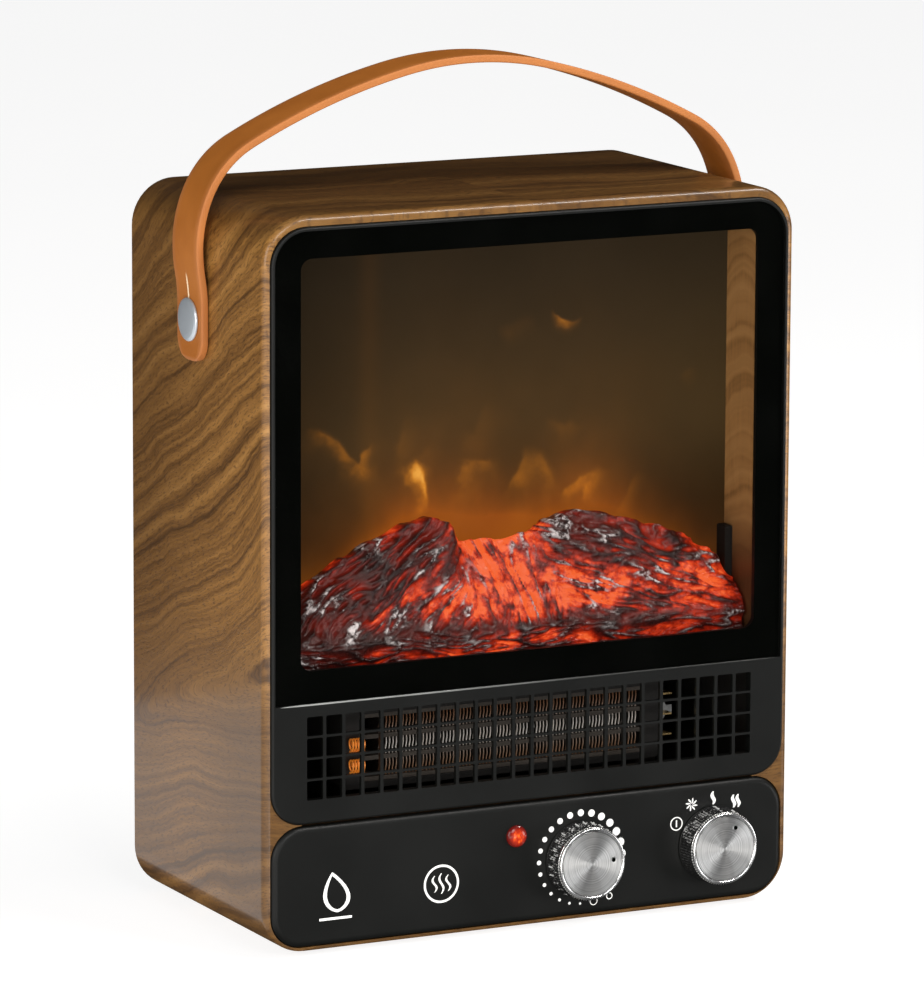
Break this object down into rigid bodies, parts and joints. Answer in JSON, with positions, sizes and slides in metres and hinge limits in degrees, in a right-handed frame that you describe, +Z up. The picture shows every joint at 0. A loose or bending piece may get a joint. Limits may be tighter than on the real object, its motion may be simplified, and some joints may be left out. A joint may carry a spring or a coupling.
{
  "type": "ceramic space heater",
  "caption": "Upright tabletop fan heater in a rounded wood-look casing, with a flame-effect window over an air grille, two dials and an arched leather carrying strap.",
  "frame": {"origin": "middle of the overall footprint, on the surface that the feet stand on", "axes": "+Z up, -Y towards the front with the window and the dials, +X to the right seen from the front"},
  "size_m": [0.2936, 0.166, 0.4135],
  "materials": {
    "walnut_shell": "walnut-look printed film on a moulded shell, satin",
    "black_moulding": "fine matt black moulding",
    "smoked_pane": "polished smoked pane",
    "chrome_skirt": "bright plated, fine knurl",
    "spun_aluminium": "spun with concentric rings",
    "zinc_steel": "zinc plated",
    "satin_nickel": "satin nickel",
    "tan_leather": "tan bridle leather with painted edges",
    "chamber_print": "walnut-look printed sheet",
    "black_sheet": "heat-resistant matt black",
    "flame_diffuser": "smoke-grey diffusing sheet",
    "ember_resin": "translucent resin painted as charred logs",
    "red_lens": "clear red-orange lens, lit",
    "lamp_glass": "clear neon lamp",
    "circuit_board": "green solder mask",
    "mirror_blades": "bright reflector foil",
    "motor_case": "plated motor can",
    "heater_resin": "glass-filled heat-resistant resin",
    "ptc_bar": "ceramic heating bars",
    "fin_foil": "bright corrugated foil",
    "brass_tab": "tinned brass",
    "switch_body": "black phenolic",
    "oilite": "sintered bronze",
    "feet_rubber": "soft black rubber",
    "terminal_resin": "natural nylon"
  },
  "bodies": {
    "heater": {"casing_shell": "walnut_shell", "rear_cover": "black_moulding", "rear_cover_screws": "zinc_steel", "feet": "feet_rubber", "front_frame": "black_moulding", "front_frame_screws": "zinc_steel", "window_pane": "smoked_pane", "control_panel": "black_moulding", "control_panel_screws": "zinc_steel", "thermostat_body": "switch_body", "thermostat_nut": "zinc_steel", "selector_switch_body": "switch_body", "selector_nut": "zinc_steel", "indicator_lens": "red_lens", "indicator_lamp": "lamp_glass", "handle_rivet_left": "satin_nickel", "handle_rivet_right": "satin_nickel", "handle_washers": "zinc_steel", "chamber_side_left": "chamber_print", "chamber_side_right": "chamber_print", "chamber_top": "black_sheet", "chamber_floor": "black_sheet", "flame_screen": "flame_diffuser", "ember_bed": "ember_resin", "ember_led_board": "circuit_board", "flame_cradle": "zinc_steel", "flame_led_board": "circuit_board", "flame_rotor_bearing": "oilite", "flame_motor": "motor_case", "heater_frame": "heater_resin", "ptc_bars": "ptc_bar", "heater_fins": "fin_foil", "heater_terminals": "brass_tab", "thermal_cutout": "zinc_steel", "blower_housing": "black_sheet", "blower_bearing": "oilite", "blower_motor": "motor_case", "tip_switch_body": "switch_body", "terminal_block": "terminal_resin", "cord_gland": "feet_rubber"},
    "handle": {"handle_strap": "tan_leather"},
    "thermostat_dial": {"thermostat_shaft": "zinc_steel", "thermostat_knob": "chrome_skirt", "thermostat_knob_disc": "spun_aluminium"},
    "selector_dial": {"selector_shaft": "zinc_steel", "selector_knob": "chrome_skirt", "selector_knob_disc": "spun_aluminium"},
    "flame_drum": {"flame_rotor": "mirror_blades"},
    "blower_wheel": {"blower_rotor": "mirror_blades"},
    "tip_plunger": {"tip_switch_plunger": "terminal_resin"}
  },
  "joints": [
    {"name": "handle_swing", "type": "hinge", "parent": "heater", "child": "handle", "pos_m": [0, 0.005, 0.2945], "axis": [1, 0, 0], "range_deg": [-26, 26]},
    {"name": "thermostat_turn", "type": "hinge", "parent": "heater", "child": "thermostat_dial", "pos_m": [0.0263, -0.07, 0.0328], "axis": [0, 1, 0], "range_deg": [-265, 35]},
    {"name": "selector_turn", "type": "hinge", "parent": "heater", "child": "selector_dial", "pos_m": [0.0984, -0.07, 0.0328], "axis": [0, 1, 0], "range_deg": [-90, 0]},
    {"name": "flame_spin", "type": "hinge", "parent": "heater", "child": "flame_drum", "pos_m": [0, -0.008, 0.19], "axis": [1, 0, 0], "continuous": true},
    {"name": "blower_spin", "type": "hinge", "parent": "heater", "child": "blower_wheel", "pos_m": [0, 0.016, 0.093], "axis": [1, 0, 0], "continuous": true},
    {"name": "tip_switch_plunge", "type": "slide", "parent": "heater", "child": "tip_plunger", "axis": [0, 0, -1], "range_m": [0, 0.004], "stiffness_N_per_m": 50, "springref_m": 0.004}
  ]
}
